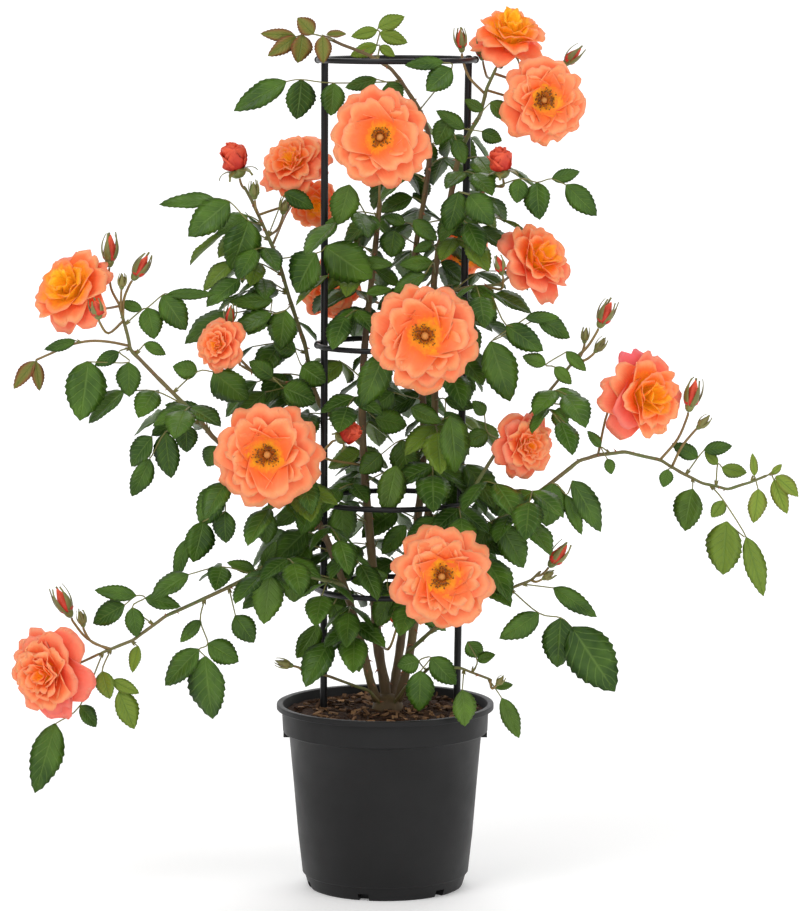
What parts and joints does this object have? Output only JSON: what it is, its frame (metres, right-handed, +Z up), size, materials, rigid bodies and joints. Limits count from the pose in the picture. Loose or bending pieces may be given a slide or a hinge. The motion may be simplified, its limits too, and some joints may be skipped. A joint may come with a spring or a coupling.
{
  "type": "climbing rose on a trellis",
  "caption": "Climbing rose with coral double blooms, trained up a ring trellis in a round black nursery pot.",
  "frame": {"origin": "middle of the flat underside of the pot", "axes": "+Z up along the trellis, -Y towards the side with the open blooms, +X to that viewer's right"},
  "size_m": [0.7165, 0.2873, 0.8022],
  "materials": {
    "pot_plastic": "matte black moulded plastic",
    "trellis_plastic": "smooth black plastic-coated tube",
    "potting_mix": "damp bark and peat mix",
    "cane_bark": "green-brown bark with thorns",
    "leaf_green": "glossy dark green leaves",
    "petal_coral": "soft coral petals, yellow-orange at the heart",
    "stamen_ochre": "ochre stamens",
    "bud_red": "red-orange closed petals"
  },
  "bodies": {
    "root": {"pot": "pot_plastic", "soil": "potting_mix", "stake_left": "trellis_plastic", "stake_right": "trellis_plastic", "ring_1_top": "trellis_plastic", "ring_2": "trellis_plastic", "ring_3": "trellis_plastic", "ring_4_low": "trellis_plastic", "crown": "cane_bark", "cane_left": "cane_bark", "cane_middle": "cane_bark", "cane_right": "cane_bark", "cane_back": "cane_bark", "shoot_top_right": "leaf_green", "shoot_right_bud": "leaf_green", "shoot_right_upper": "leaf_green", "shoot_right_mid": "leaf_green", "arch_right": "leaf_green", "shoot_lower_right": "leaf_green", "shoot_base_right": "leaf_green", "shoot_base_left": "leaf_green", "arch_lower_left": "leaf_green", "arch_left": "leaf_green", "shoot_left_upper": "leaf_green", "shoot_left_mid": "leaf_green", "bloom_top": "petal_coral", "bloom_top_right": "petal_coral", "bloom_upper": "petal_coral", "bloom_behind_stake": "petal_coral", "bloom_upper_back": "petal_coral", "bloom_right_upper": "petal_coral", "bloom_back": "petal_coral", "bloom_middle": "petal_coral", "bloom_small_left": "petal_coral", "bloom_left": "petal_coral", "bloom_low": "petal_coral", "bloom_right_small": "petal_coral", "bloom_right": "petal_coral", "bloom_far_left": "petal_coral", "bloom_low_left": "petal_coral", "bloom_inner": "petal_coral", "stamens_top_right": "stamen_ochre", "stamens_upper": "stamen_ochre", "stamens_middle": "stamen_ochre", "stamens_left": "stamen_ochre", "stamens_low": "stamen_ochre", "bud_top_left_pair": "bud_red", "bud_top_sepal": "bud_red", "bud_top_far": "bud_red", "bud_right_open": "bud_red", "bud_left_open": "bud_red", "bud_small_a": "bud_red", "bud_far_left_tall": "bud_red", "bud_far_left_lean": "bud_red", "bud_right_tall": "bud_red", "bud_right_arch": "bud_red", "bud_low_left": "bud_red", "bud_middle_open": "bud_red", "bud_low_right": "bud_red"}
  },
  "joints": []
}
